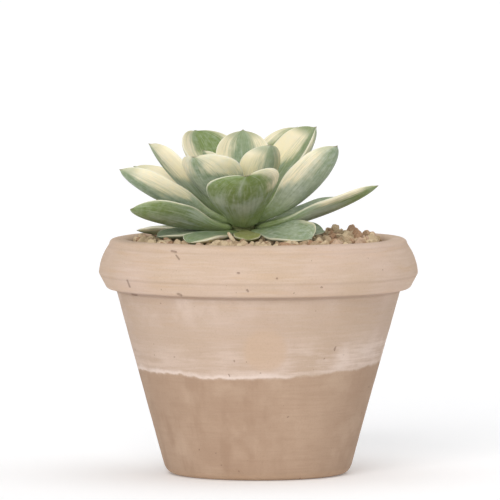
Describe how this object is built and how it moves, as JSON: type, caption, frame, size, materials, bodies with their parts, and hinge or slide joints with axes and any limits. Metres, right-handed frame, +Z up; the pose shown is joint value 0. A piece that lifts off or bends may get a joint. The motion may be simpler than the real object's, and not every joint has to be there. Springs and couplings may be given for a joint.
{
  "type": "potted succulent",
  "caption": "Variegated cream and green succulent rosette in a thick-rimmed clay flowerpot topped with pumice grit.",
  "frame": {"origin": "centre of the pot's foot, on the surface it stands on", "axes": "+Z up along the pot's axis; the front is towards -Y, where the picture was taken from"},
  "size_m": [0.14, 0.14, 0.1521],
  "materials": {
    "clay": "matte",
    "soil": "matte",
    "grit": "matte",
    "leaf": "satin",
    "stem": "matte"
  },
  "bodies": {
    "root": {"dry_stalk": "stem", "grit_bed": "grit", "leaf_back": "leaf", "leaf_back_left": "leaf", "leaf_bud_front": "leaf", "leaf_bud_left": "leaf", "leaf_bud_right": "leaf", "leaf_front": "leaf", "leaf_heart_back": "leaf", "leaf_heart_front_right": "leaf", "leaf_heart_left": "leaf", "leaf_inner_back_left": "leaf", "leaf_inner_back_right": "leaf", "leaf_inner_front_left": "leaf", "leaf_inner_left": "leaf", "leaf_inner_right": "leaf", "leaf_inner_right_back": "leaf", "leaf_left": "leaf", "leaf_low_back": "leaf", "leaf_low_back_left": "leaf", "leaf_low_back_right": "leaf", "leaf_low_front_left": "leaf", "leaf_low_left": "leaf", "leaf_low_left_back": "leaf", "leaf_low_right": "leaf", "leaf_low_right_front": "leaf", "leaf_right": "leaf", "leaf_right_back": "leaf", "leaf_stub": "leaf", "leaf_upper_back": "leaf", "leaf_upper_left": "leaf", "leaf_upper_left_back": "leaf", "pot": "clay", "soil": "soil", "stem": "stem", "stone_1": "grit", "stone_10": "grit", "stone_11": "grit", "stone_12": "grit", "stone_13": "grit", "stone_14": "grit", "stone_15": "grit", "stone_2": "grit", "stone_3": "grit", "stone_4": "grit", "stone_5": "grit", "stone_6": "grit", "stone_7": "grit", "stone_8": "grit", "stone_9": "grit"}
  },
  "joints": []
}
